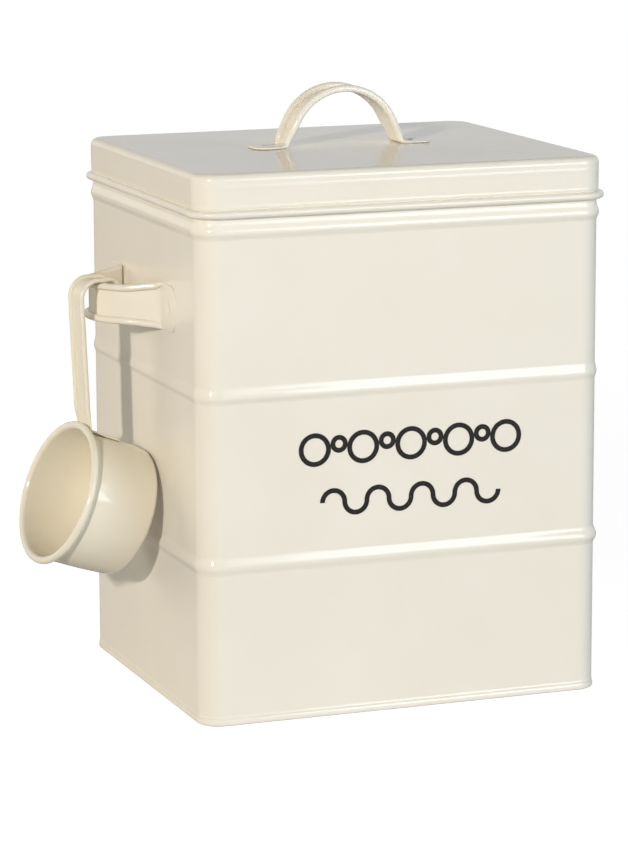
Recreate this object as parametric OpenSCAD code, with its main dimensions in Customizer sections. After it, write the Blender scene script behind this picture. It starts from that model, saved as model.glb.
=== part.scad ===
// Laundry powder tin with a lift-off lid, and a measuring scoop that hangs on the left wall.
// Origin: centre of the underside. +X runs to the right along the front, +Y to the back, +Z up.

/* [Tin] */
// Width over the wall, left to right
tin_w = 190; // [150:1:240]
// Depth over the wall, front to back
tin_d = 163; // [130:1:210]
// Height from the table to the lid's flat top
tin_h = 245; // [200:1:300]
// Outer radius of the wall's four corners
corner_r = 10; // [7:0.5:20]
// Thickness of the sheet steel of wall, base and lid
sheet = 0.5; // [0.4:0.05:0.7]
// Height of the fold in the wall's top edge
hem_h = 6; // [4:0.5:10]
// Height of the base's edge, folded up round the wall's foot
seam_h = 3; // [2:0.5:5]

/* [Lock seam at the back] */
// Width of the folded seam inside the wall
lock_w = 6; // [4:0.5:9]
// Thickness of the folded seam
lock_t = 1; // [0.8:0.1:1.6]
// Width of the fine line that the seam leaves outside
lock_line_w = 0.7; // [0.4:0.1:1]
// Depth of that line
lock_line_t = 0.25; // [0.1:0.05:0.3]

/* [Beads round the wall] */
// Height of each bead along the wall
bead_w = 6; // [4:0.5:8]
// How far a bead stands out of the wall
bead_proud = 1; // [0.6:0.1:1.5]
// Height of the lower bead's centre
low_bead_z = 73.5; // [40:0.5:90]
// Height of the middle bead's centre
mid_bead_z = 149; // [120:0.5:160]
// Clear height between the top bead and the lid
bead_lid_gap = 0.6; // [0.5:0.1:3]

/* [Lid] */
// Height of the lid, from its flat top to the curl's underside
lid_h = 21; // [16:0.5:30]
// Outer radius of the lid's top edge
lid_edge_r = 2; // [1.8:0.1:3]
// Clear space between the wall and the lid's skirt
lid_gap = 0.3; // [0.3:0.05:0.6]
// Height of the curl at the skirt's lower edge
curl_h = 4.8; // [4:0.1:6]
// How far the curl stands out of the skirt
curl_proud = 2.4; // [2:0.1:3]
// Width of the open line between the curl's edge and the skirt
curl_slit = 0.3; // [0.2:0.05:0.5]

/* [Straps of the lid handle and the bracket] */
// Width of the strap over its rolled edges
strap_w = 18; // [15:0.5:24]
// Thickness of the strap's sheet
strap_t = 0.8; // [0.7:0.1:1]
// Diameter of the strap's rolled edges
strap_roll_d = 3.2; // [2.6:0.1:4]
// Radius of the bend between a leg and its foot, at mid-sheet
strap_bend_r = 2; // [1.5:0.1:3]
// Radius of the rounded corners of a foot
foot_corner_r = 5; // [2:0.5:7]

/* [Lid handle] */
// Clear height under the arch
handle_rise = 24.5; // [22:0.5:32]
// Radius of the arch, inside
handle_arch_r = 24; // [22:0.5:28]
// Lean of each leg away from upright, in degrees
handle_flare = 27; // [18:1:32]
// Length of each foot
handle_foot = 14; // [11:0.5:20]
// Width of each foot, where the rolled edges are pressed flat
handle_foot_w = 18; // [15:0.5:26]

/* [Scoop bracket] */
// Height of the bracket's centre above the table
bracket_z = 180.5; // [170:0.5:190]
// Clear depth between the wall and the bracket's arch
bracket_rise = 23.4; // [22:0.2:28]
// Radius of the bracket's arch, inside
bracket_arch_r = 24; // [22:0.5:26]
// Lean of each bracket leg away from square to the wall, in degrees
bracket_flare = 29; // [18:1:32]
// Length of each bracket foot
bracket_foot = 18; // [12:0.5:22]
// Width of each bracket foot, where the rolled edges are pressed flat
bracket_foot_w = 21; // [15:0.5:28]

/* [Scoop cup] */
// Diameter over the cup's rolled rim
cup_d = 66; // [56:1:72]
// Diameter of the cup's bottom
cup_base_d = 59; // [50:1:64]
// Depth of the cup, outside
cup_depth = 36.5; // [30:0.5:46]
// Radius of the edge between the cup's wall and bottom
cup_edge_r = 2.5; // [1.5:0.5:4]
// Thickness of the cup's sheet
cup_t = 0.6; // [0.5:0.05:0.8]
// Diameter of the cup's rolled rim
cup_roll_d = 3.4; // [2.8:0.1:4]
// Upward tilt of the cup's mouth, in degrees
cup_tilt = 20.5; // [14:0.5:26]
// Clear space between the cup and the tin's wall
cup_wall_gap = 1.3; // [0.3:0.1:2]

/* [Scoop handle] */
// Width of the scoop's strap over its rolled edges
grip_w = 14; // [12:0.5:16]
// Thickness of the strap's sheet
grip_t = 0.8; // [0.7:0.1:1]
// Diameter of its rolled edges
grip_roll_d = 2.2; // [2:0.1:2.6]
// Length of the straight shank
shank_len = 58; // [50:0.5:64]
// Outward lean of the shank, in degrees
shank_lean = 2.5; // [2:0.5:5]
// Distance from the cup's rolled rim back to the handle's bend
shank_setback = 1.2; // [1.1:0.1:3]
// Radius of the bend above the foot, at mid-sheet
grip_bend_r = 2; // [1.5:0.1:3]
// Length of the foot along the cup's wall
grip_foot = 16; // [10:0.5:20]
// Space left under the foot, over the cup's round wall
grip_foot_gap = 0.1; // [0.1:0.05:0.3]
// Radius of the hook's bend on the shank's side, at mid-sheet
hook_r = 7.5; // [6:0.5:9]
// Radius of the hook's bend behind the bracket, at mid-sheet
hook_tip_r = 3.4; // [3:0.2:4]
// Length of the hook's straight tip
hook_tip = 2.2; // [1.5:0.1:3]
// Clear space between the hook's tip and the bracket's inner face
hook_gap = 5.5; // [5:0.1:7]
// Clear space between the hook and the bracket's top edge
hook_rest_gap = 0.3; // [0.3:0.1:0.6]
// Place of the scoop along the bracket, from its middle (negative is to the front)
scoop_y = -7; // [-9:0.5:-4]
// Turn of the hanging scoop towards the front, in degrees
scoop_turn = 8; // [4:0.5:12]

/* [Print on the front] */
// Thickness of the ink
ink_t = 0.15; // [0.1:0.05:0.3]
// Width of the ink lines
ink_line = 2.2; // [1.5:0.1:3]
// Place of the print's middle, to the right of the tin's middle
print_x = 2.5; // [-8:0.5:8]
// Length of the row of bubbles
bubble_row_w = 106; // [90:1:120]
// Height of that row's centre
bubble_row_z = 121; // [118:0.5:126]
// Diameter of a large bubble
bubble_d = 15; // [11:0.5:17]
// Diameter of a small bubble
small_bubble_d = 8; // [6:0.5:10]
// Number of bubbles
bubble_n = 9; // [5:2:9]
// Length of the wavy line
wave_row_w = 84; // [70:1:100]
// Height of the wavy line's centre
wave_row_z = 97; // [92:0.5:100]
// Number of half waves
wave_n = 8; // [4:2:12]

/* [Hidden] */
$fn = 64;
enamel = [0.91, 0.885, 0.83];
ink = [0.13, 0.12, 0.11];
// A strap's bends run this far into its straight stretches, and are this much slimmer all round,
// so that no two faces of one strap lie on each other
lap = 0.1;
slim = 0.01;

// The lid sits on the wall's hemmed rim. Offsets run outward from the wall's outer face.
skirt_in = lid_gap;
skirt_out = lid_gap + sheet;
rim_z = tin_h - lid_edge_r + sheet;
curl_r = curl_h / 2;
curl_x = skirt_out + curl_proud - curl_r;
curl_z = tin_h - lid_h + curl_r;

// A bead is a shallow arc with this radius
bead_r = (pow(bead_w / 2, 2) + pow(bead_proud, 2)) / (2 * bead_proud);
bead_x = bead_proud - bead_r;
top_bead_z = tin_h - lid_h - bead_lid_gap - bead_w / 2;
bead_zs = [low_bead_z, mid_bead_z, top_bead_z];

// The bracket's arch seen from above: its centre, and the inner face where the scoop hangs
arch_x = -tin_w / 2 - bracket_rise + bracket_arch_r;
hang_x = arch_x - sqrt(pow(bracket_arch_r, 2) - pow(scoop_y, 2));
bracket_top = bracket_z + strap_w / 2;

// Cup: slope of its wall, radius of the wall at the mouth, radius of the ring round its bottom
mouth_r = cup_d / 2 - cup_roll_d + cup_t;
base_r = cup_base_d / 2;
cup_slope = (mouth_r - base_r) / cup_depth;
cup_taper = atan(cup_slope);
edge_ring_r = base_r + cup_slope * cup_edge_r - cup_edge_r / cos(cup_taper);

// Scoop, in the upright plane that it hangs in: x runs to the wall from the bracket's inner face.
// The cup's bottom edge all but touches the wall, and that sets the cup's place along x.
mouth_dir_x = cos(cup_tilt) * cos(scoop_turn);
cup_reach = edge_ring_r * sqrt(1 - pow(mouth_dir_x, 2)) + cup_edge_r;
edge_ring_x = (-tin_w / 2 - cup_wall_gap - cup_reach - hang_x) / cos(scoop_turn);
cup_x = edge_ring_x + cup_edge_r * cos(cup_tilt);
rim_x = cup_x - cup_depth * cos(cup_tilt);

// Handle of the scoop, at mid-sheet, from the foot up to the hook
foot_lean = cup_tilt + cup_taper;
grip_turn = 90 - foot_lean - shank_lean;
grip_bend_len = grip_bend_r * tan(grip_turn / 2);
bend_d = cup_roll_d + shank_setback;
bend_wall_r = mouth_r - cup_slope * bend_d;
foot_lift = grip_foot_gap + grip_t / 2;
bend_from_rim_x = bend_d * cos(cup_tilt) + bend_wall_r * sin(cup_tilt) + foot_lift * sin(foot_lean);
bend_from_rim_z = bend_wall_r * cos(cup_tilt) - bend_d * sin(cup_tilt) + foot_lift * cos(foot_lean);
bend_x = rim_x + bend_from_rim_x;
shank_x0 = bend_x - grip_bend_len * sin(shank_lean);
shank_x1 = shank_x0 - shank_len * sin(shank_lean);
hook_top_z = bracket_top + hook_rest_gap + grip_t / 2;
hook_z = hook_top_z - hook_r;
hook_x = shank_x1 + hook_r * cos(shank_lean);
hook_flat = hook_gap + grip_t / 2 - hook_tip_r - hook_x;
shank_z1 = hook_z - hook_r * sin(shank_lean);
shank_z0 = shank_z1 - shank_len * cos(shank_lean);
bend_z = shank_z0 - grip_bend_len * cos(shank_lean);
cup_rim_z = bend_z - bend_from_rim_z;
cup_z = cup_rim_z - cup_depth * sin(cup_tilt);
foot_x = bend_x + grip_bend_len * cos(foot_lean);
foot_z = bend_z - grip_bend_len * sin(foot_lean);
// The rolled edges begin clear of the cup's rim and of a strap's bends
roll_start = 2 * cup_roll_d;
roll_stop = strap_roll_d;

// Shared shapes

// A 2-D section carried round a box with round corners: its x is the way out, its y is the height
module round_wall(w, d, r) {
    for (side = [0, 1])
        mirror([side, 0, 0])
            translate([w / 2, 0, 0])
                rotate([90, 0, 0])
                    linear_extrude(d - 2 * r, center = true)
                        children();
    for (side = [0, 1])
        mirror([0, side, 0])
            translate([0, d / 2, 0])
                rotate([90, 0, 90])
                    linear_extrude(w - 2 * r, center = true)
                        children();
    for (quarter = [0 : 3])
        rotate([0, 0, 90 * quarter])
            translate([quarter % 2 == 0 ? w / 2 - r : d / 2 - r, quarter % 2 == 0 ? d / 2 - r : w / 2 - r, 0])
                rotate_extrude(angle = 90)
                    translate([r, 0])
                        children();
}

// A flat plate with round corners
module round_plate(w, d, r, t) {
    linear_extrude(t) {
        square([w - 2 * r, d], center = true);
        square([w, d - 2 * r], center = true);
        for (x = [-1, 1], y = [-1, 1])
            translate([x * (w / 2 - r), y * (d / 2 - r)])
                circle(r);
    }
}

// Flat section of a strap's sheet, from x = 0
module web_section(w, t, inset = 0) {
    translate([inset, inset - w / 2])
        square([t - 2 * inset, w - 2 * inset]);
}

// Section of a strap with a rolled edge at each side, rolled towards +x
module rolled_section(w, t, roll_d, inset = 0) {
    translate([inset, (roll_d - w) / 2])
        square([t - 2 * inset, w - roll_d]);
    for (side = [-1, 1])
        translate([roll_d / 2, side * (w - roll_d) / 2])
            difference() {
                circle(roll_d / 2 - inset, $fn = 32);
                circle(roll_d / 2 - t + inset, $fn = 32);
            }
}

// Carries a strap section round a bend in the plane y = 0. The section's x = 0 is at radius r.
module bend(r, from, to) {
    over = lap / r * 180 / PI;
    rotate([90, 0, 0])
        rotate([0, 0, from - over])
            rotate_extrude(angle = to - from + 2 * over)
                translate([r, 0])
                    children();
}

// A flat foot along +X with a rounded end
module foot_plate(len, w, t, r) {
    linear_extrude(t) {
        translate([0, -w / 2])
            square([len - r, w]);
        translate([0, r - w / 2])
            square([len, w - 2 * r]);
        for (side = [-1, 1])
            translate([len - r, side * (w / 2 - r)])
                circle(r);
    }
}

// An arched strap on two feet. The feet stand on z = 0, the arch is in the plane y = 0.
module strap_arch(rise, arch_r, flare, foot, foot_w) {
    arch_z = rise - arch_r;
    mid_r = arch_r + strap_t / 2;
    drop = arch_z + mid_r * sin(flare) - strap_t / 2 - strap_bend_r * (1 - sin(flare));
    leg = drop / cos(flare);
    bend_at = mid_r * cos(flare) + leg * sin(flare) + strap_bend_r * cos(flare);
    translate([0, 0, arch_z])
        bend(arch_r, flare, 180 - flare)
            rolled_section(strap_w, strap_t, strap_roll_d, slim);
    for (side = [0, 1])
        mirror([side, 0, 0]) {
            translate([0, 0, arch_z])
                rotate([0, 90 - flare, 0])
                    translate([0, 0, arch_r])
                        rotate([0, 90, 0])
                            rotate(180) {
                                linear_extrude(leg - roll_stop)
                                    rolled_section(strap_w, strap_t, strap_roll_d);
                                translate([0, 0, leg - roll_stop])
                                    linear_extrude(roll_stop)
                                        web_section(foot_w, strap_t);
                            }
            translate([bend_at, 0, strap_t / 2 + strap_bend_r])
                bend(strap_bend_r - strap_t / 2, 180 + flare, 270)
                    web_section(foot_w, strap_t, slim);
            translate([bend_at, 0, 0])
                foot_plate(foot, foot_w, strap_t, foot_corner_r);
        }
}

// Wall and base

module bead_discs(r) {
    for (z = bead_zs)
        translate([bead_x, z])
            circle(r);
}

module wall_section() {
    difference() {
        union() {
            translate([-sheet, sheet])
                square([sheet, rim_z - 2 * sheet]);
            intersection() {
                bead_discs(bead_r);
                translate([-sheet, 0])
                    square([sheet + 2 * bead_proud, tin_h]);
            }
        }
        bead_discs(bead_r - sheet);
    }
    translate([-2 * sheet, rim_z - hem_h])
        square([sheet, hem_h - sheet]);
    translate([-sheet, rim_z - sheet])
        circle(sheet, $fn = 32);
}

module body_wall() {
    color(enamel) {
        difference() {
            round_wall(tin_w, tin_d, corner_r)
                wall_section();
            translate([-lock_line_w / 2, tin_d / 2 - lock_line_t, seam_h])
                cube([lock_line_w, lock_line_t + 2 * bead_proud, rim_z - seam_h - 2 * sheet]);
        }
        translate([-lock_w / 2, tin_d / 2 - sheet - lock_t, sheet])
            cube([lock_w, lock_t, rim_z - hem_h - sheet]);
    }
}

module base_panel() {
    color(enamel) {
        round_plate(tin_w, tin_d, corner_r, sheet);
        round_wall(tin_w, tin_d, corner_r) {
            translate([0, sheet])
                square([sheet, seam_h - sheet]);
            intersection() {
                translate([0, sheet])
                    circle(sheet, $fn = 32);
                square(sheet);
            }
        }
    }
}

// Print: a row of soap bubbles over a wavy line

module ring(d, line) {
    difference() {
        circle(d / 2);
        circle(d / 2 - line);
    }
}

module bubble_row() {
    pitch = (bubble_row_w - bubble_d) / (bubble_n - 1);
    for (i = [0 : bubble_n - 1])
        translate([(i - (bubble_n - 1) / 2) * pitch, i % 2 == 0 ? 0 : small_bubble_d / 4])
            ring(i % 2 == 0 ? bubble_d : small_bubble_d, ink_line);
}

module wave_row() {
    mid_r = wave_row_w / wave_n / 2;
    for (i = [0 : wave_n - 1])
        translate([(i - (wave_n - 1) / 2) * 2 * mid_r, 0])
            intersection() {
                ring(2 * mid_r + ink_line, ink_line);
                translate([-2 * mid_r, i % 2 == 0 ? 0 : -2 * mid_r])
                    square([4 * mid_r, 2 * mid_r]);
            }
}

module front_print() {
    color(ink)
        translate([print_x, -tin_d / 2, 0])
            rotate([90, 0, 0])
                linear_extrude(ink_t) {
                    translate([0, bubble_row_z])
                        bubble_row();
                    translate([0, wave_row_z])
                        wave_row();
                }
}

// Lid

module lid_skirt_section() {
    top_z = tin_h - lid_edge_r;
    translate([skirt_in, curl_z])
        square([sheet, top_z - curl_z]);
    translate([skirt_out - lid_edge_r, top_z])
        difference() {
            intersection() {
                circle(lid_edge_r);
                square(lid_edge_r);
            }
            circle(lid_edge_r - sheet);
        }
    difference() {
        intersection() {
            translate([curl_x, curl_z])
                circle(curl_r);
            translate([skirt_in, curl_z - curl_r])
                square([skirt_out - skirt_in + curl_proud, curl_h]);
        }
        intersection() {
            translate([curl_x, curl_z])
                circle(curl_r - sheet);
            translate([skirt_out, curl_z - curl_r])
                square([curl_proud, curl_h]);
        }
        translate([skirt_out, curl_z])
            square([curl_slit, curl_h]);
    }
}

module lid() {
    plate_in = 2 * (skirt_out - lid_edge_r);
    color(enamel) {
        round_wall(tin_w, tin_d, corner_r)
            lid_skirt_section();
        translate([0, 0, tin_h - sheet])
            round_plate(tin_w + plate_in, tin_d + plate_in, corner_r + plate_in / 2, sheet);
    }
}

module lid_handle() {
    color(enamel)
        translate([0, 0, tin_h])
            strap_arch(handle_rise, handle_arch_r, handle_flare, handle_foot, handle_foot_w);
}

// Bracket and scoop

module scoop_bracket() {
    color(enamel)
        translate([-tin_w / 2, 0, bracket_z])
            rotate([90, 0, -90])
                strap_arch(bracket_rise, bracket_arch_r, bracket_flare, bracket_foot, bracket_foot_w);
}

// Puts the scoop's upright plane at its place on the bracket
module hang() {
    translate([hang_x, scoop_y, 0])
        rotate([0, 0, scoop_turn])
            children();
}

// Half outline of a tapered cup with a round bottom edge: bottom radius, height, edge radius
module cup_outline(r, h, edge_r) {
    ring_r = r + cup_slope * edge_r - edge_r / cos(cup_taper);
    polygon([[0, 0],
             [ring_r, 0],
             [ring_r + edge_r * cos(cup_taper), edge_r - edge_r * sin(cup_taper)],
             [r + cup_slope * h, h],
             [0, h]]);
    intersection() {
        translate([ring_r, edge_r])
            circle(edge_r);
        square([2 * r, h]);
    }
}

module scoop_cup() {
    wall_in = cup_t / cos(cup_taper) - cup_slope * cup_t;
    roll_r = cup_roll_d / 2;
    color(enamel)
        hang()
            translate([cup_x, 0, cup_z])
                rotate([0, cup_tilt - 90, 0])
                    rotate_extrude() {
                        difference() {
                            cup_outline(base_r, cup_depth - roll_r, cup_edge_r);
                            translate([0, cup_t])
                                cup_outline(base_r - wall_in, cup_depth, cup_edge_r - cup_t);
                        }
                        translate([mouth_r - cup_t + roll_r, cup_depth - roll_r])
                            difference() {
                                circle(roll_r);
                                circle(roll_r - cup_t);
                            }
                    }
}

module scoop_handle() {
    half_t = grip_t / 2;
    color(enamel)
        hang() {
            translate([foot_x, 0, foot_z])
                rotate([0, foot_lean, 0])
                    translate([0, 0, -half_t])
                        foot_plate(grip_foot, grip_w, grip_t, foot_corner_r);
            translate([foot_x + grip_bend_r * sin(foot_lean), 0, foot_z + grip_bend_r * cos(foot_lean)])
                bend(grip_bend_r - half_t, 180 + shank_lean, 270 - foot_lean)
                    web_section(grip_w, grip_t, slim);
            translate([shank_x0, 0, shank_z0])
                rotate([0, -shank_lean, 0])
                    translate([half_t, 0, 0])
                        rotate(180) {
                            linear_extrude(shank_len)
                                web_section(grip_w, grip_t);
                            translate([0, 0, roll_start])
                                linear_extrude(shank_len - roll_start)
                                    rolled_section(grip_w, grip_t, grip_roll_d);
                        }
            translate([hook_x, 0, hook_z])
                bend(hook_r - half_t, 90, 180 + shank_lean)
                    rolled_section(grip_w, grip_t, grip_roll_d, slim);
            translate([hook_x, 0, hook_top_z - half_t])
                rotate([0, 90, 0])
                    linear_extrude(hook_flat)
                        rotate(180)
                            rolled_section(grip_w, grip_t, grip_roll_d);
            translate([hook_x + hook_flat, 0, hook_top_z - hook_tip_r])
                bend(hook_tip_r - half_t, 0, 90)
                    rolled_section(grip_w, grip_t, grip_roll_d, slim);
            translate([hook_x + hook_flat + hook_tip_r - half_t, 0, hook_top_z - hook_tip_r - hook_tip])
                linear_extrude(hook_tip)
                    rolled_section(grip_w, grip_t, grip_roll_d);
        }
}

body_wall();
base_panel();
front_print();
scoop_bracket();
lid();
lid_handle();
scoop_cup();
scoop_handle();
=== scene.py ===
import math

import bmesh
import bpy
import numpy as np
from mathutils import Matrix, Vector


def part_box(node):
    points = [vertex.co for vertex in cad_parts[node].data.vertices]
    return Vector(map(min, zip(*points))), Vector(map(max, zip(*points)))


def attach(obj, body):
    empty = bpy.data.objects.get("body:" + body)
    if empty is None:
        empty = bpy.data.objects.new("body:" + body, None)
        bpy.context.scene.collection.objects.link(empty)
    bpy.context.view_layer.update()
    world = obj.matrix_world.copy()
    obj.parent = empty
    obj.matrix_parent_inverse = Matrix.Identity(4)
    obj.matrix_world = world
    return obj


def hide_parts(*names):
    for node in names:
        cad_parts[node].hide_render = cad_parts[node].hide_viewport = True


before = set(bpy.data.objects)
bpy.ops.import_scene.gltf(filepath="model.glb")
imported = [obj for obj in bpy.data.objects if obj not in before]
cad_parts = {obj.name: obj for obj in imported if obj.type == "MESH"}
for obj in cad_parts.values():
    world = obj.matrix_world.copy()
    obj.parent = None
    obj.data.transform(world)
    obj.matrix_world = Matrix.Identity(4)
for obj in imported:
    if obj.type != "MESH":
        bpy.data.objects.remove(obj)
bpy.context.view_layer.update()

# Laundry powder tin in cream enamel, with its lid, strap handle, bracket and hanging scoop.
# Sizes are in metres. The tin's main sizes come from the frame, and what lies finer is named here.
MM = 0.001

# Tin
SHEET = 0.5 * MM
CORNER_R = 10 * MM
HALF_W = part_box("base_panel")[1].x - SHEET
HALF_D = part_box("base_panel")[1].y - SHEET
RIM_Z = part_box("body_wall")[1].z
WALL_FOOT_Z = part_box("body_wall")[0].z
HEM_H = 6 * MM
BEAD_UP = 5.0 * MM
# Each bead: height of its crest, how far it slopes below that, how proud it stands, how much prouder it
# is at one place, that place along X, and how far that swelling spreads
BEADS = ((71.2 * MM, 4.0 * MM, 0.90 * MM, 0.55 * MM, 100 * MM, 38 * MM),
         (146.5 * MM, 3.3 * MM, 0.80 * MM, 0.45 * MM, -52 * MM, 15 * MM),
         (218.6 * MM, 3.6 * MM, 1.12 * MM, 0, 0, 1))
SEAM_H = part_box("base_panel")[1].z
SEAM_PROUD = 0.5 * MM
SEAM_WIDEST_Z = 1.05 * MM
SEAM_UPPER_R = 6.2 * MM
SEAM_UNDER_R = 1.0 * MM
FOOT_FLARE = 0.2 * MM
FOOT_FLARE_H = 1.5 * MM
FOOT_LIP_Z = SEAM_H + 0.3 * MM
LOCK_HALF = 3 * MM
LOCK_T = 1 * MM
LOCK_LINE_HALF = 0.35 * MM
LOCK_LINE_T = 0.25 * MM

# Lid
LID_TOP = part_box("lid")[1].z
LID_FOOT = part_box("lid")[0].z
LID_GAP = 0.3 * MM
LID_EDGE_R = 3.1 * MM
LID_CROWN = 0.8 * MM
CURL_OUT = 2.4 * MM
CURL_DEPTH = 1.9 * MM
CURL_HALF_H = 1.75 * MM
CURL_Z = LID_FOOT + 2.7 * MM
# Points down the lid's side to the lip above the curl: how far out, and how high above the lid's foot
LIP = ((-0.01, 8.4), (-0.03, 7.6), (-0.06, 6.9), (-0.06, 6.35), (-0.03, 6.0), (0.0, 5.7), (-0.03, 5.35),
       (-0.15, 5.05), (-0.28, 4.8), (-0.4, 4.55))
RIDGE_Z = LID_FOOT + 14.2 * MM
RIDGE_HALF = 1.6 * MM
RIDGE_PROUD = 0.06 * MM

# Straps of the lid handle and the bracket
STRAP_W = 18 * MM
STRAP_T = 0.8 * MM
STRAP_ROLL = 3.2 * MM
STRAP_BEND_R = 2 * MM
FOOT_CORNER_R = 5 * MM
HANDLE = dict(rise=24.5 * MM, arch_r=24 * MM, flare=27, foot=14 * MM, foot_w=18 * MM, bend_r=2 * MM,
              waist=3 * MM, weld=35 * MM)
BRACKET = dict(rise=23.4 * MM, arch_r=24 * MM, flare=29, foot=18 * MM, foot_w=21 * MM, bend_r=4.5 * MM,
               waist=0, weld=38 * MM)
WAIST_LEN = 8 * MM
ROLL_FADE = 8 * MM
ROLL_INTO_FOOT = 3 * MM
WIDTH_FADE = 20 * MM
BRACKET_Z = 180.5 * MM
WELD_DEPTH = 0.65 * MM
WELD_R = 2.2 * MM

# Scoop
CUP_D = 66 * MM
CUP_BASE_D = 59 * MM
CUP_DEPTH = 36.5 * MM
CUP_EDGE_R = 2.5 * MM
CUP_T = 0.6 * MM
CUP_BARREL = 0.5 * MM
CUP_ROLL = 3.4 * MM
CUP_TILT = math.radians(20.5)
CUP_WALL_GAP = 1.3 * MM
GRIP_W = 14 * MM
GRIP_T = 0.8 * MM
GRIP_ROLL = 2.2 * MM
SHANK_LEN = 58 * MM
SHANK_LEAN = math.radians(2.5)
SHANK_SETBACK = 1.2 * MM
GRIP_BEND_R = 2 * MM
GRIP_FOOT = 16 * MM
GRIP_PRESSED_ON = 3 * MM
GRIP_FOOT_GAP = 0.1 * MM
HOOK_R = 7.5 * MM
HOOK_TIP_R = 3.4 * MM
HOOK_TIP = 2.2 * MM
HOOK_GAP = 5.5 * MM
HOOK_REST_GAP = 0.3 * MM
SCOOP_Y = -7 * MM
SCOOP_TURN = math.radians(8)

# Fineness of the meshes
CORNER_STEPS = 18
LATHE_STEPS = 160
ARC_STEP = 3.0
LINE_STEP = 0.8 * MM
ROLL_STEPS = 14
WEB_STEPS = 26
EDGE_LEAD = 0.35 * MM
SHARP = math.radians(38)

# Colours, in linear light
CREAM = (0.82, 0.772, 0.672, 1)
CREAM_DEEP = (0.805, 0.754, 0.645, 1)
SCOOP_CREAM = (0.82, 0.768, 0.64, 1)
SCOOP_CREAM_DEEP = (0.805, 0.75, 0.612, 1)
CLOUD_SCALE = 24
STREAK_SCALE = 90
RIPPLE_SCALE = 16
RIPPLE_DEPTH = 0.18 * MM
ENAMEL_ROUGHNESS = (0.085, 0.12)
ENAMEL_IOR = 1.5
INK = (0.013, 0.011, 0.009, 1)
INK_WORN = (0.045, 0.04, 0.033, 1)
INK_SPECK_SCALE = 1100
INK_GRAIN = 0.01 * MM
INK_ROUGHNESS = 0.5
INK_SPECULAR = 0.25
WHITE = (1, 1, 1, 1)

# Backdrop, with strengths, and with heights and ways back as parts of a view direction
BACKDROP = 0.74
CEILING = 0.3
CEILING_HEIGHTS = (0.40, 0.62)
SOFT_LIGHT = 0.07
LIGHT_FROM_BEHIND = 2.4
BEHIND_WAYS_BACK = (0.5, 0.9)
BEHIND_HEIGHTS = (0.1, 0.4)
FLOOR_GREY = 0.62
FLOOR_SHOWN_GREY = 0.45
FLOOR_SHOWN_GLOW = 0.82
FLOOR_EVEN_FROM = 0.25
FLOOR_EVEN_AT = 0.9
FLOOR_HALF = 14

# The photograph's view, in metres and degrees
VIEW_AZIMUTH = -20.53
VIEW_ELEVATION = 10.96
VIEW_ROLL = -0.21
VIEW_DISTANCE = 1.6832
VIEW_TARGET = (-12.8 * MM, 0, 113.6 * MM)
LENS = 153.0
SENSOR = 36

# Lamps, with sizes in metres. A lamp that isn't mirrored lights the tin without showing in its enamel.
DAYLIGHT = (0.77, 0.88, 1.0)
WARM = (1.0, 0.93, 0.82)
KEY = dict(azimuth=-44.5, elevation=17.5, distance=4, width=0.2, height=0.2, level=0.715,
           colour=(1.0, 0.946, 0.87))
WINDOW = dict(azimuth=29.35, distance=3.5, low=0.1, high=1.53, width=1.32, level=0.279,
              colour=DAYLIGHT)
WINDOW_FILL = dict(azimuth=52.85, distance=3.5, low=0.1, high=1.53, width=3.26, level=0.4,
                   colour=DAYLIGHT, mirrored=False)
LEFT_FILL = dict(azimuth=-122, distance=3.5, low=0.1, high=1.9, width=2.4, level=0.27,
                 colour=WARM, mirrored=False)
BACK_FILL = dict(azimuth=122, distance=3.5, low=0.1, high=2.1, width=2.4, level=0.27,
                 colour=WARM, mirrored=False)


# Materials

def new_material(name):
    mat = bpy.data.materials.new(name)
    mat.use_nodes = True
    return mat, mat.node_tree.nodes, mat.node_tree.links.new


def noise(nodes, link, coord, scale, detail=2.0):
    tex = nodes.new("ShaderNodeTexNoise")
    tex.inputs["Scale"].default_value = scale
    tex.inputs["Detail"].default_value = detail
    link(coord.outputs["Object"], tex.inputs["Vector"])
    return tex


def bump(nodes, link, height, distance):
    node = nodes.new("ShaderNodeBump")
    node.inputs["Distance"].default_value = distance
    link(height.outputs["Fac"], node.inputs["Height"])
    return node


def span(nodes, link, source, low, high, to_min, to_max):
    node = nodes.new("ShaderNodeMapRange")
    node.inputs["From Min"].default_value = low
    node.inputs["From Max"].default_value = high
    node.inputs["To Min"].default_value = to_min
    node.inputs["To Max"].default_value = to_max
    link(source, node.inputs["Value"])
    return node.outputs["Result"]


def blend_colours(nodes, link, factor, first, second):
    node = nodes.new("ShaderNodeMix")
    node.data_type = "RGBA"
    node.inputs["A"].default_value = first
    node.inputs["B"].default_value = second
    link(factor, node.inputs["Factor"])
    return node.outputs["Result"]


def enamel_material(name, light, deep):
    """Glossy cream enamel on pressed sheet: faint cloudiness and the sheet's long ripples."""
    mat, nodes, link = new_material(name)
    bsdf = nodes["Principled BSDF"]
    coord = nodes.new("ShaderNodeTexCoord")
    clouds = noise(nodes, link, coord, CLOUD_SCALE)
    factor = span(nodes, link, clouds.outputs["Fac"], 0.3, 0.7, 0, 1)
    link(blend_colours(nodes, link, factor, light, deep), bsdf.inputs["Base Color"])
    streaks = noise(nodes, link, coord, STREAK_SCALE, 3)
    link(span(nodes, link, streaks.outputs["Fac"], 0.3, 0.7, *ENAMEL_ROUGHNESS), bsdf.inputs["Roughness"])
    ripples = bump(nodes, link, noise(nodes, link, coord, RIPPLE_SCALE, 0), RIPPLE_DEPTH)
    link(ripples.outputs["Normal"], bsdf.inputs["Normal"])
    bsdf.inputs["IOR"].default_value = ENAMEL_IOR
    return mat


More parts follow.
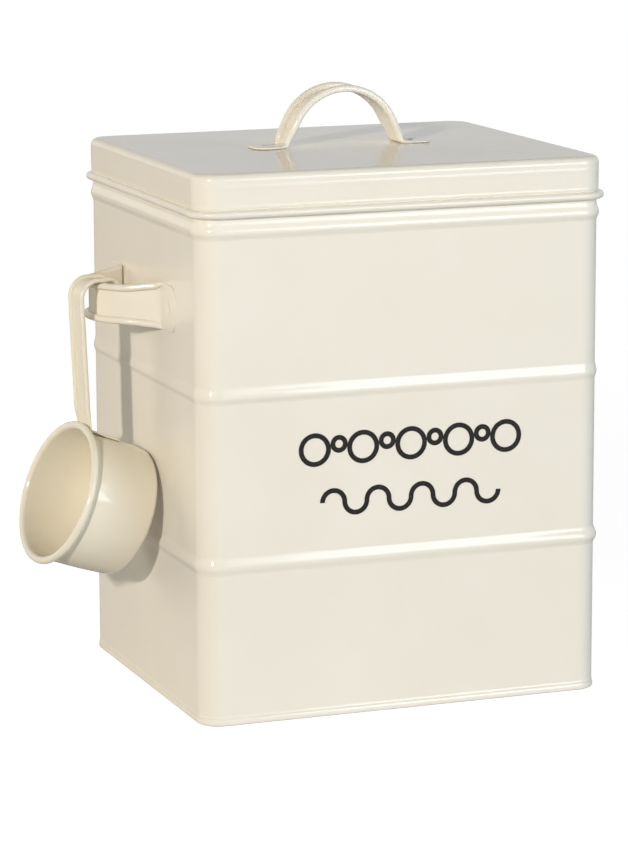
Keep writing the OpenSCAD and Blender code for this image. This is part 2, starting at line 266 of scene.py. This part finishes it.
def ink_material():
    """Matt printed ink with faint worn specks."""
    mat, nodes, link = new_material("print_ink")
    bsdf = nodes["Principled BSDF"]
    coord = nodes.new("ShaderNodeTexCoord")
    specks = noise(nodes, link, coord, INK_SPECK_SCALE, 4)
    factor = span(nodes, link, specks.outputs["Fac"], 0.55, 0.75, 0, 1)
    link(blend_colours(nodes, link, factor, INK, INK_WORN), bsdf.inputs["Base Color"])
    grain = bump(nodes, link, specks, INK_GRAIN)
    link(grain.outputs["Normal"], bsdf.inputs["Normal"])
    bsdf.inputs["Roughness"].default_value = INK_ROUGHNESS
    bsdf.inputs["Specular IOR Level"].default_value = INK_SPECULAR
    return mat


# Mesh helpers

def arc(cx, cz, r, start, end, steps):
    """Points on a circle, from one angle to another, in degrees."""
    return [(cx + r * math.cos(math.radians(a)), cz + r * math.sin(math.radians(a)))
            for a in np.linspace(start, end, steps + 1)]


def ease(t):
    """Smooth rise from 0 to 1."""
    t = min(max(t, 0), 1)
    return t * t * (3 - 2 * t)


def side_stops(half, extra):
    """Places along a straight side, from +half to -half, close together at its ends, and extra ones."""
    even = [half * f for f in (0.75, 0.5, 0.25, -0.25, -0.5, -0.75)]
    return sorted([half - EDGE_LEAD, EDGE_LEAD - half] + even + list(extra), reverse=True)


def ring_xy(offset):
    """The tin's outline moved out by offset, and its normals, anticlockwise from the right side's back."""
    r = max(CORNER_R + offset, EDGE_LEAD)
    cx = HALF_W + offset - r
    cy = HALF_D + offset - r
    line = LOCK_LINE_HALF
    seam = [s * (x + lead) for s in (1, -1) for x in (line, LOCK_HALF) for lead in (0, EDGE_LEAD / 3)]
    pts = []
    ways = []
    for quarter in range(4):
        sx = 1 if quarter in (0, 3) else -1
        sy = 1 if quarter in (0, 1) else -1
        pts += arc(sx * cx, sy * cy, r, 90 * quarter, 90 * quarter + 90, CORNER_STEPS)
        ways += arc(0, 0, 1, 90 * quarter, 90 * quarter + 90, CORNER_STEPS)
        along_x = quarter % 2 == 0
        for stop in side_stops(cx if along_x else cy, seam if quarter == 0 else ()):
            if along_x:
                pts.append((sy * stop, sy * (cy + r)))
                ways.append((0, sy))
            else:
                pts.append((sx * (cx + r), -sx * stop))
                ways.append((sx, 0))
    return np.array(pts), np.array(ways)


def skin(rings, loop=False):
    """Vertices and faces of a skin over closed rings, which joins the last to the first or closes both."""
    count, n = len(rings), len(rings[0])
    faces = []
    for i in range(count if loop else count - 1):
        k = (i + 1) % count
        faces += [(i * n + j, i * n + (j + 1) % n, k * n + (j + 1) % n, k * n + j) for j in range(n)]
    if not loop:
        faces += [tuple(range(n)), tuple(range((count - 1) * n, count * n))]
    return np.vstack(rings), faces


def sweep(profile, dent=None, loop=False):
    """A profile of (offset, height) carried round the tin. dent may move each ring's points."""
    rings = []
    for point in profile:
        xy, ways = ring_xy(point[0])
        if dent:
            dent(xy, ways, point)
        rings.append(np.column_stack([xy, np.full(len(xy), point[1])]))
    return skin(rings, loop)


def place(points, matrix):
    """Points moved by a 4x4 matrix."""
    m = np.array(matrix)
    return np.asarray(points) @ m[:3, :3].T + m[:3, 3]


def piece(name, shell, body, node, material):
    """A smooth closed mesh that stands for a CAD node and rides on its body."""
    verts, faces = shell
    mesh = bpy.data.meshes.new(name)
    mesh.from_pydata([tuple(v) for v in verts], [], faces)
    bm = bmesh.new()
    bm.from_mesh(mesh)
    bmesh.ops.recalc_face_normals(bm, faces=bm.faces)
    for face in bm.faces:
        face.smooth = True
    for edge in bm.edges:
        edge.smooth = edge.calc_face_angle(0) < SHARP
    bm.to_mesh(mesh)
    bm.free()
    mesh.materials.append(material)
    obj = bpy.data.objects.new(name, mesh)
    bpy.context.scene.collection.objects.link(obj)
    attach(obj, body)
    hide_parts(node)
    return obj


# Tin

def bead_rise(x, z):
    """How far the wall stands out at a height, for three beads that slope long above and short below."""
    for crest, down, proud, extra, place_x, spread in BEADS:
        up = z - crest
        half = BEAD_UP if up > 0 else down
        if abs(up) < half:
            depth = proud + extra * np.exp(-((x - place_x) / spread) ** 2)
            return depth * (1 + math.cos(math.pi * up / half)) / 2
    return 0 * x


def wall_heights(start, end):
    """Heights up the wall, close together over the beads."""
    zs = [start]
    for bead in BEADS:
        zs += list(np.linspace(bead[0] - bead[1], bead[0] + BEAD_UP, 43))
    return zs + [end]


def wall_profile():
    """Section of the wall, up its outside, over the hem and down its inside: (offset, height, side)."""
    flare_top = FOOT_LIP_Z + FOOT_FLARE_H
    out = [(0, WALL_FOOT_Z), (0, FOOT_LIP_Z - 0.1 * MM)]
    for z in np.linspace(FOOT_LIP_Z, flare_top, 9):
        out.append((FOOT_FLARE * ease((flare_top - z) / FOOT_FLARE_H), z))
    hem = arc(-SHEET, RIM_Z - SHEET, SHEET, 0, 180, 10)
    out += [(0, z) for z in wall_heights(flare_top + EDGE_LEAD, RIM_Z - SHEET - EDGE_LEAD)]
    hem_foot = RIM_Z - HEM_H
    back = [(-2 * SHEET, RIM_Z - SHEET - EDGE_LEAD), (-2 * SHEET, hem_foot), (-SHEET, hem_foot)]
    inside = [z for z in reversed(wall_heights(WALL_FOOT_Z, hem_foot - EDGE_LEAD)) if z < hem_foot]
    back += [(-SHEET, z) for z in inside]
    return [(x, z, "out") for x, z in out + hem] + [(x, z, "in") for x, z in back]


def press_wall(xy, ways, point):
    """The beads, and the folded seam up the middle of the back: a fine line outside, a flat fold inside."""
    _, z, side = point
    xy += ways * bead_rise(xy[:, :1], z)
    at_back = xy[:, 1] > HALF_D / 2
    if side == "out" and SEAM_H < z < RIM_Z - 2 * SHEET:
        line = at_back & (abs(xy[:, 0]) < LOCK_LINE_HALF + EDGE_LEAD / 9)
        xy[line, 1] -= LOCK_LINE_T
    if side == "in" and z < RIM_Z - HEM_H:
        fold = at_back & (abs(xy[:, 0]) < LOCK_HALF + EDGE_LEAD / 9)
        xy[fold, 1] = HALF_D - SHEET - LOCK_T


def base_profile():
    """Section of the bottom panel: a flat plate whose edge is folded up round the wall's foot."""
    centre = MM - HALF_D
    roll_r = 0.3 * MM
    top = SEAM_H - roll_r
    end = math.degrees(math.asin((SEAM_H - 0.1 * MM - SEAM_WIDEST_Z) / SEAM_UPPER_R))
    bulge = arc(SEAM_PROUD - SEAM_UPPER_R, SEAM_WIDEST_Z, SEAM_UPPER_R, end, 0, 10)
    bulge += arc(SEAM_PROUD - SEAM_UNDER_R, SEAM_WIDEST_Z, SEAM_UNDER_R, 0, -80, 12)[1:]
    return ([(centre, SHEET), (-CORNER_R, SHEET), (0.01 * MM, SHEET), (0.01 * MM, top)]
            + [(0.08 * MM, SEAM_H - 0.02 * MM)] + bulge
            + [(SEAM_PROUD - SEAM_UNDER_R, 0), (-3 * EDGE_LEAD, 0), (-CORNER_R, 0), (centre, 0)])


def lid_profile():
    """Section of the lid, from the middle of its underside out, round the curl and back over the top."""
    inner = LID_GAP
    outer = LID_GAP + SHEET
    centre = MM - HALF_D
    edge_x = outer - LID_EDGE_R
    edge_z = LID_TOP - LID_CROWN - LID_EDGE_R
    crown = [(x, LID_TOP - LID_CROWN * ease(1 - x / centre))
             for x in np.linspace(centre, edge_x - EDGE_LEAD, 16)]
    under = [(x, z - SHEET) for x, z in crown] + arc(edge_x, edge_z, LID_EDGE_R - SHEET, 90, 0, 10)
    down = [(inner, edge_z - EDGE_LEAD), (inner, CURL_Z), (inner + 0.05 * MM, CURL_Z - 1.4 * MM)]
    curl = [(outer + CURL_OUT - CURL_DEPTH * (1 - x), CURL_Z + CURL_HALF_H * z)
            for x, z in arc(0, 0, 1, -110, 100, 32)]
    groove = [(outer - 0.4 * MM, LID_FOOT + 4.45 * MM)]
    lip = [(outer + x * MM, LID_FOOT + z * MM) for x, z in reversed(LIP)]
    ridge = [(outer + RIDGE_PROUD * (1 + math.cos(math.pi * (z - RIDGE_Z) / RIDGE_HALF)) / 2, z)
             for z in np.linspace(RIDGE_Z - RIDGE_HALF, RIDGE_Z + RIDGE_HALF, 17)]
    edge = ridge + [(outer, edge_z - EDGE_LEAD)] + arc(edge_x, edge_z, LID_EDGE_R, 0, 90, 20)
    return under + down + curl + groove + lip + edge + crown[::-1]


# Straps

def walk(x, z, heading, moves):
    """Points (x, z, heading) along straight runs and arcs. A move is (length, 0), (radius, turn) or
    (length, "end"), whose points crowd towards its far end. Angles are in degrees."""
    path = [(x, z, heading)]
    for size, turn in moves:
        h = math.radians(heading)
        if turn == "end" or turn == 0:
            steps = max(2, round(size / LINE_STEP))
            fractions = np.linspace(0, 1, steps + 1)[1:]
            if turn == "end":
                fractions = np.sin(fractions * math.pi / 2)
            path += [(x + size * f * math.cos(h), z + size * f * math.sin(h), heading) for f in fractions]
        else:
            side = math.copysign(1, turn)
            cx = x - side * size * math.sin(h)
            cz = z + side * size * math.cos(h)
            steps = max(6, round(abs(turn) / ARC_STEP))
            for k in range(1, steps + 1):
                now = math.radians(heading + turn * k / steps)
                path.append((cx + side * size * math.sin(now), cz - side * size * math.cos(now),
                             math.degrees(now)))
            heading += turn
        x, z = path[-1][:2]
    return path


def strap_section(w, t, roll):
    """Outline of a strap's section: a flat web whose edges are rolled up towards +v. Points are (u, v)."""
    r = roll / 2
    last = 180 - math.degrees(math.asin(max(-1, min(1, (t - r) / r))))
    right = arc(w / 2 - r, r - t / 2, r, -90, last, ROLL_STEPS)
    left = [(-u, v) for u, v in reversed(right)]
    under = [(u, -t / 2) for u in np.linspace(left[-1][0], right[0][0], WEB_STEPS + 1)[1:-1]]
    over = [(u, t / 2) for u in np.linspace(right[-1][0], left[0][0], WEB_STEPS + 1)[1:-1]]
    return np.array(under + right + over + left)


def strap(path, size_at, t, welds=()):
    """A strap along a path in the plane y = 0. size_at gives its width and roll at each distance.
    Each weld is the place (x, y) of a spot weld's dimple in a level foot."""
    rings = []
    gone = 0.0
    before = path[0]
    for point in path:
        gone += math.dist(point[:2], before[:2])
        before = point
        w, roll = size_at(gone)
        h = math.radians(point[2])
        section = strap_section(w, t, roll)
        u, v = section[:, 0], section[:, 1]
        x = point[0] - v * math.sin(h)
        z = point[1] + v * math.cos(h)
        for wx, wy in welds:
            reach = np.hypot(x - wx, u - wy) / WELD_R
            z = z - WELD_DEPTH * np.exp(-reach ** 2) * (v > 0) * (z < 2 * STRAP_T)
        rings.append(np.column_stack([x, u, z]))
    return skin(rings)


def path_length(path):
    return sum(math.dist(a[:2], b[:2]) for a, b in zip(path, path[1:]))


def rounded_width(w, r, from_end):
    """Width of a foot near its end, which has corners of radius r."""
    if from_end >= r:
        return w
    return w - 2 * (r - math.sqrt(max(0, r * r - (r - from_end) ** 2)))


def strap_arch(rise, arch_r, flare, foot, foot_w, bend_r, waist, weld):
    """An arched strap on two feet, with rolled edges that are pressed flat towards the feet. waist is how
    much narrower it is just above a foot, and weld is how far its spot welds lie from its middle."""
    mid_r = arch_r + STRAP_T / 2
    lean = math.radians(flare)
    drop = rise - arch_r + mid_r * math.sin(lean) - STRAP_T / 2 - bend_r * (1 - math.sin(lean))
    leg = drop / math.cos(lean)
    turn = 90 - flare
    foot -= (bend_r - STRAP_BEND_R) * (math.cos(lean) - (1 - math.sin(lean)) * math.tan(lean))
    half = walk(0, rise + STRAP_T / 2, 0, [(mid_r, -turn), (leg, 0), (bend_r, turn),
                                           (foot - FOOT_CORNER_R, 0), (FOOT_CORNER_R, "end")])
    path = [(-x, z, -h) for x, z, h in reversed(half)] + half[1:]
    total = path_length(path)

    def size_at(gone):
        from_end = min(gone, total - gone)
        pressed = 1 - ease((from_end - foot + ROLL_INTO_FOOT) / ROLL_FADE)
        widened = 1 - ease((from_end - foot) / WIDTH_FADE)
        roll = STRAP_ROLL + (STRAP_T - STRAP_ROLL) * pressed
        above_foot = (from_end - foot - WAIST_LEN / 3) / WAIST_LEN
        width = STRAP_W + (foot_w - STRAP_W) * widened - waist * math.exp(-2 * above_foot ** 2)
        return rounded_width(width, FOOT_CORNER_R, from_end), roll

    return strap(path, size_at, STRAP_T, [(side * weld, 0) for side in (-1, 1)])


# Scoop, in the upright plane that it hangs in: x runs to the wall from the bracket's inner face

def scoop_places():
    """Where the cup and its handle go, worked out from the cup at the wall and the hook on the bracket."""
    mouth_r = CUP_D / 2 - CUP_ROLL + CUP_T
    slope = (mouth_r - CUP_BASE_D / 2) / CUP_DEPTH
    taper = math.atan(slope)
    edge_ring_r = CUP_BASE_D / 2 + slope * CUP_EDGE_R - CUP_EDGE_R / math.cos(taper)
    arch_x = BRACKET["arch_r"] - BRACKET["rise"] - HALF_W
    hang_x = arch_x - math.sqrt(BRACKET["arch_r"] ** 2 - SCOOP_Y ** 2)
    mouth_dir_x = math.cos(CUP_TILT) * math.cos(SCOOP_TURN)
    reach = edge_ring_r * math.sqrt(1 - mouth_dir_x ** 2) + CUP_EDGE_R
    edge_ring_x = (-HALF_W - CUP_WALL_GAP - reach - hang_x) / math.cos(SCOOP_TURN)
    cup_x = edge_ring_x + CUP_EDGE_R * math.cos(CUP_TILT)
    rim_x = cup_x - CUP_DEPTH * math.cos(CUP_TILT)
    foot_lean = CUP_TILT + taper
    bend_len = GRIP_BEND_R * math.tan((math.pi / 2 - foot_lean - SHANK_LEAN) / 2)
    bend_d = CUP_ROLL + SHANK_SETBACK
    wall_r = mouth_r - slope * bend_d
    lift = GRIP_FOOT_GAP + GRIP_T / 2
    bend_x = rim_x + bend_d * math.cos(CUP_TILT) + wall_r * math.sin(CUP_TILT) + lift * math.sin(foot_lean)
    rise = wall_r * math.cos(CUP_TILT) - bend_d * math.sin(CUP_TILT) + lift * math.cos(foot_lean)
    hook_top = BRACKET_Z + STRAP_W / 2 + HOOK_REST_GAP + GRIP_T / 2
    shank_x1 = bend_x - (bend_len + SHANK_LEN) * math.sin(SHANK_LEAN)
    shank_z1 = hook_top - HOOK_R - HOOK_R * math.sin(SHANK_LEAN)
    bend_z = shank_z1 - (SHANK_LEN + bend_len) * math.cos(SHANK_LEAN)
    hook_x = shank_x1 + HOOK_R * math.cos(SHANK_LEAN)
    return dict(slope=slope, taper=taper, edge_ring_r=edge_ring_r, mouth_r=mouth_r, hang_x=hang_x,
                cup_x=cup_x, cup_z=bend_z - rise - CUP_DEPTH * math.sin(CUP_TILT),
                foot_lean=foot_lean, foot_x=bend_x + bend_len * math.cos(foot_lean),
                foot_z=bend_z - bend_len * math.sin(foot_lean),
                hook_flat=HOOK_GAP + GRIP_T / 2 - HOOK_TIP_R - hook_x)


def hang(at):
    """Matrix of the upright plane that the scoop hangs in."""
    return Matrix.Translation((at["hang_x"], SCOOP_Y, 0)) @ Matrix.Rotation(SCOOP_TURN, 4, "Z")


def cup_shell(at):
    """The drawn cup: flat bottom, round edge, tapered wall and a rolled rim."""
    roll_r = CUP_ROLL / 2
    taper = math.degrees(at["taper"])
    floor_r = 2 * MM
    roll_x = at["mouth_r"] - CUP_T + roll_r
    roll_z = CUP_DEPTH - roll_r
    under_roll = roll_z - 1.25 * roll_r
    ring_r, edge_r = at["edge_ring_r"], CUP_EDGE_R

    def outer(h):
        return CUP_BASE_D / 2 + at["slope"] * h + CUP_BARREL * math.sin(math.pi * h / CUP_DEPTH)

    thin = CUP_T / math.cos(at["taper"])
    profile = [(floor_r, 0), (ring_r - EDGE_LEAD, 0)]
    profile += arc(ring_r, edge_r, edge_r, -90, -taper, 10)
    wall = np.linspace(2 * edge_r, under_roll, 14)
    profile += [(outer(h), h) for h in wall]
    profile += arc(roll_x, roll_z, roll_r, -112, 180, 26)
    profile += [(outer(h) - thin, h) for h in wall[::-1]]
    profile += arc(ring_r, edge_r, edge_r - CUP_T, -taper, -90, 8)
    profile += [(ring_r - EDGE_LEAD, CUP_T), (floor_r, CUP_T)]
    spin = np.linspace(0, 2 * math.pi, LATHE_STEPS, endpoint=False)
    rings = [np.column_stack([r * np.cos(spin), r * np.sin(spin), np.full(LATHE_STEPS, h)])
             for r, h in profile]
    verts, faces = skin(rings)
    lie = Matrix.Rotation(CUP_TILT - math.pi / 2, 4, "Y")
    return place(verts, hang(at) @ Matrix.Translation((at["cup_x"], 0, at["cup_z"])) @ lie), faces


def grip_shell(at):
    """The scoop's strap: a foot along the cup, a long shank and the hook over the bracket."""
    lean = math.degrees(at["foot_lean"])
    shank_lean = math.degrees(SHANK_LEAN)
    up = 90 + shank_lean
    dx, dz = math.cos(at["foot_lean"]), math.sin(at["foot_lean"])
    path = walk(at["foot_x"] + GRIP_FOOT * dx, at["foot_z"] - GRIP_FOOT * dz, 180 - lean,
                [(FOOT_CORNER_R, 0), (GRIP_FOOT - FOOT_CORNER_R, 0), (GRIP_BEND_R, up - 180 + lean),
                 (SHANK_LEN, 0), (HOOK_R, -up), (at["hook_flat"], 0), (HOOK_TIP_R, -90), (HOOK_TIP, 0)])

    def size_at(gone):
        pressed = 1 - ease((gone - GRIP_FOOT - GRIP_PRESSED_ON) / ROLL_FADE)
        return rounded_width(GRIP_W, FOOT_CORNER_R, gone), GRIP_ROLL + (GRIP_T - GRIP_ROLL) * pressed

    verts, faces = strap(path, size_at, GRIP_T)
    return place(verts, hang(at)), faces


# Camera, light and floor

def direction(azimuth, elevation):
    """Unit vector from the tin towards a place. Azimuth 0 is the front, and negative is to the left."""
    a, e = math.radians(azimuth), math.radians(elevation)
    return Vector((math.sin(a) * math.cos(e), -math.cos(a) * math.cos(e), math.sin(e)))


def add_camera():
    """The photograph's view."""
    back = direction(VIEW_AZIMUTH, VIEW_ELEVATION)
    data = bpy.data.cameras.new("camera")
    data.lens = LENS
    data.sensor_width = SENSOR
    camera = bpy.data.objects.new("camera", data)
    bpy.context.scene.collection.objects.link(camera)
    roll = Matrix.Rotation(math.radians(VIEW_ROLL), 4, "Z")
    camera.matrix_world = (Matrix.Translation(Vector(VIEW_TARGET) + back * VIEW_DISTANCE)
                           @ back.to_track_quat("Z", "Y").to_matrix().to_4x4() @ roll)
    bpy.context.scene.camera = camera


def softbox(name, azimuth, elevation, distance, width, height, level, colour, mirrored=True):
    """An area lamp that faces the tin. At level 1 it lights a white face square to it to plain white."""
    data = bpy.data.lights.new(name, "AREA")
    data.shape = "RECTANGLE"
    data.size = width
    data.size_y = height
    data.energy = level * (math.pi * distance) ** 2
    data.color = colour
    lamp = bpy.data.objects.new(name, data)
    bpy.context.scene.collection.objects.link(lamp)
    lamp.visible_glossy = mirrored
    way = direction(azimuth, elevation)
    place_at = Vector((0, 0, LID_TOP / 2)) + way * distance
    lamp.matrix_world = Matrix.Translation(place_at) @ way.to_track_quat("Z", "Y").to_matrix().to_4x4()


def standing_softbox(name, azimuth, distance, low, high, width, level, colour, mirrored=True):
    """An area lamp that stands upright, from one height to another, and faces the tin's axis."""
    softbox(name, azimuth, 0, distance, width, high - low, level, colour, mirrored)
    bpy.data.objects[name].matrix_world.translation.z = (low + high) / 2


def seen_ray(nodes, link, mirrored=True):
    """1 for rays that show the background: from the camera, through glass and, if mirrored, from gloss."""
    path = nodes.new("ShaderNodeLightPath")
    total = path.outputs["Is Camera Ray"]
    others = ("Is Transmission Ray", "Is Glossy Ray") if mirrored else ("Is Transmission Ray",)
    for name in others:
        add = nodes.new("ShaderNodeMath")
        add.operation = "MAXIMUM"
        link(total, add.inputs[0])
        link(path.outputs[name], add.inputs[1])
        total = add.outputs["Value"]
    return total


def add_world():
    """A white backdrop under a dimmer ceiling. It gives a soft even light, and more from low behind."""
    world = bpy.data.worlds.new("studio")
    world.use_nodes = True
    bpy.context.scene.world = world
    nodes, link = world.node_tree.nodes, world.node_tree.links.new
    background = nodes["Background"]
    background.inputs["Color"].default_value = WHITE
    split = nodes.new("ShaderNodeSeparateXYZ")
    link(nodes.new("ShaderNodeTexCoord").outputs["Generated"], split.inputs["Vector"])
    low_behind = nodes.new("ShaderNodeMath")
    low_behind.operation = "MULTIPLY"
    link(span(nodes, link, split.outputs["Y"], *BEHIND_WAYS_BACK, 0, 1), low_behind.inputs[0])
    link(span(nodes, link, split.outputs["Z"], *BEHIND_HEIGHTS, 1, 0), low_behind.inputs[1])
    soft = span(nodes, link, low_behind.outputs["Value"], 0, 1, SOFT_LIGHT, LIGHT_FROM_BEHIND)
    mirrored = nodes.new("ShaderNodeMix")
    link(soft, mirrored.inputs["A"])
    link(seen_ray(nodes, link), mirrored.inputs["Factor"])
    link(span(nodes, link, split.outputs["Z"], *CEILING_HEIGHTS, BACKDROP, CEILING), mirrored.inputs["B"])
    mix = nodes.new("ShaderNodeMix")
    mix.inputs["B"].default_value = 1
    link(seen_ray(nodes, link, mirrored=False), mix.inputs["Factor"])
    link(mirrored.outputs["Result"], mix.inputs["A"])
    link(mix.outputs["Result"], background.inputs["Strength"])


def lit_white(nodes, link, grey, strength):
    """A white that glows by strength and takes light by grey, so that it shows shadows softly."""
    diffuse = nodes.new("ShaderNodeBsdfDiffuse")
    diffuse.inputs["Color"].default_value = (grey, grey, grey, 1)
    glow = nodes.new("ShaderNodeEmission")
    glow.inputs["Strength"].default_value = strength
    add = nodes.new("ShaderNodeAddShader")
    link(diffuse.outputs["BSDF"], add.inputs[0])
    link(glow.outputs["Emission"], add.inputs[1])
    return add.outputs["Shader"]


def mix_shaders(nodes, link, factor, first, second):
    node = nodes.new("ShaderNodeMixShader")
    link(factor, node.inputs["Fac"])
    link(first, node.inputs[1])
    link(second, node.inputs[2])
    return node.outputs["Shader"]


def add_floor():
    """A plain pale floor. It keeps the tin's shadow, and turns to even white further off."""
    mat, nodes, link = new_material("pale_floor")
    nodes.remove(nodes["Principled BSDF"])
    away = nodes.new("ShaderNodeVectorMath")
    away.operation = "LENGTH"
    link(nodes.new("ShaderNodeTexCoord").outputs["Object"], away.inputs[0])
    far = span(nodes, link, away.outputs["Value"], FLOOR_EVEN_FROM, FLOOR_EVEN_AT, 0, 1)
    near_white = lit_white(nodes, link, FLOOR_SHOWN_GREY, FLOOR_SHOWN_GLOW)
    shown = mix_shaders(nodes, link, far, near_white, lit_white(nodes, link, 0, 1))
    plain = lit_white(nodes, link, FLOOR_GREY, 0)
    mixed = mix_shaders(nodes, link, seen_ray(nodes, link, mirrored=False), plain, shown)
    link(mixed, nodes["Material Output"].inputs["Surface"])
    mesh = bpy.data.meshes.new("floor")
    corners = [(x * FLOOR_HALF, y * FLOOR_HALF, 0) for x, y in ((-1, -1), (1, -1), (1, 1), (-1, 1))]
    mesh.from_pydata(corners, [], [(0, 1, 2, 3)])
    mesh.materials.append(mat)
    floor = bpy.data.objects.new("floor", mesh)
    bpy.context.scene.collection.objects.link(floor)


# The model

def dress_print(ink):
    """The CAD ink stays, with the ink's own material."""
    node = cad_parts["front_print"]
    node.data.materials.clear()
    node.data.materials.append(ink)


def main():
    enamel = enamel_material("cream_enamel", CREAM, CREAM_DEEP)
    scoop_enamel = enamel_material("scoop_enamel", SCOOP_CREAM, SCOOP_CREAM_DEEP)
    at = scoop_places()
    piece("tin_wall", sweep(wall_profile(), press_wall, loop=True), "tin", "body_wall", enamel)
    piece("tin_base", sweep(base_profile()), "tin", "base_panel", enamel)
    piece("lid_shell", sweep(lid_profile()), "lid", "lid", enamel)
    verts, faces = strap_arch(**HANDLE)
    handle_at = Matrix.Translation((0, 0, LID_TOP))
    piece("lid_strap", (place(verts, handle_at), faces), "lid", "lid_handle", enamel)
    out_of_wall = Matrix.Rotation(-math.pi / 2, 4, "Z") @ Matrix.Rotation(math.pi / 2, 4, "X")
    verts, faces = strap_arch(**BRACKET)
    bracket_at = Matrix.Translation((-HALF_W, 0, BRACKET_Z)) @ out_of_wall
    piece("bracket_strap", (place(verts, bracket_at), faces), "tin", "scoop_bracket", enamel)
    piece("cup_shell", cup_shell(at), "scoop", "scoop_cup", scoop_enamel)
    piece("grip_strap", grip_shell(at), "scoop", "scoop_handle", scoop_enamel)
    dress_print(ink_material())
    add_camera()
    softbox("key", **KEY)
    standing_softbox("window", **WINDOW)
    standing_softbox("window_fill", **WINDOW_FILL)
    standing_softbox("left_fill", **LEFT_FILL)
    standing_softbox("back_fill", **BACK_FILL)
    add_world()
    add_floor()
    bpy.context.scene.view_settings.view_transform = "Standard"


main()
